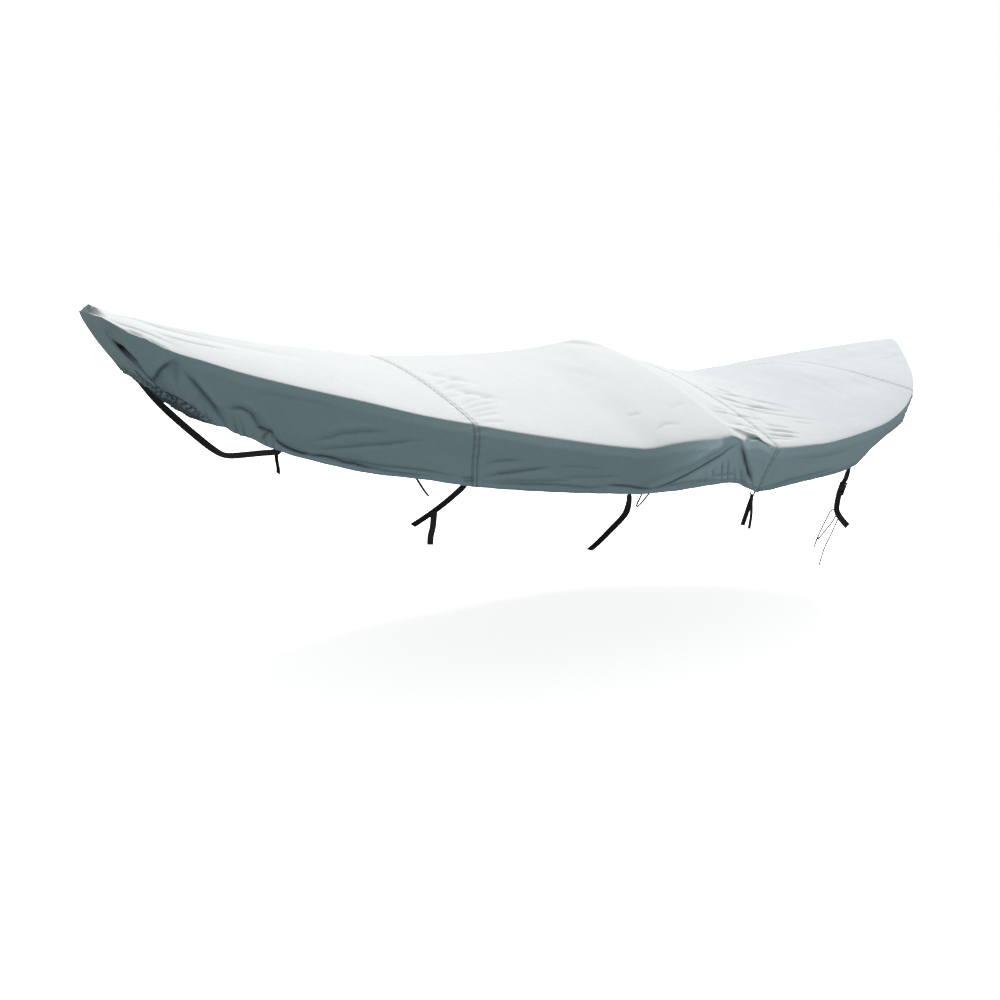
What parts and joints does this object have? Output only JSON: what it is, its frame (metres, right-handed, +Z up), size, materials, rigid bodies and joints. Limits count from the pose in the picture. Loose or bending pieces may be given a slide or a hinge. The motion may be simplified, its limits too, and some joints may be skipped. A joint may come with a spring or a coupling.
{
  "type": "boat cover",
  "caption": "Grey fitted cloth cover for a small high-ended rowing boat, hanging in low folds with black webbing ties at its hem.",
  "frame": {"origin": "the point under the cover's top where the prop inside the boat holds it up, on the middle line and at the highest hump", "axes": "+X towards the bow, +Y to port, +Z up; the cover's length lies along X"},
  "size_m": [5.04, 1.8962, 1.1822],
  "materials": {
    "cloth": "matte coated polyester",
    "webbing": "matte woven",
    "buckle": "satin",
    "cord": "matte braided"
  },
  "bodies": {
    "root": {"stern_panel": "cloth", "aft_panel": "cloth", "forward_panel": "cloth", "bow_panel": "cloth", "stern_tie": "webbing", "rear_tie": "webbing", "rear_tie_port": "webbing", "rear_tie_tail": "webbing", "middle_tie": "webbing", "middle_tie_port": "webbing", "middle_loop": "webbing", "front_loop": "webbing", "front_tie": "webbing", "front_tie_tail": "webbing", "bow_tie": "webbing", "bow_buckle": "buckle", "bow_tie_tail": "webbing", "bow_cord_1": "cord", "bow_cord_2": "cord", "bow_cord_3": "cord"}
  },
  "joints": []
}
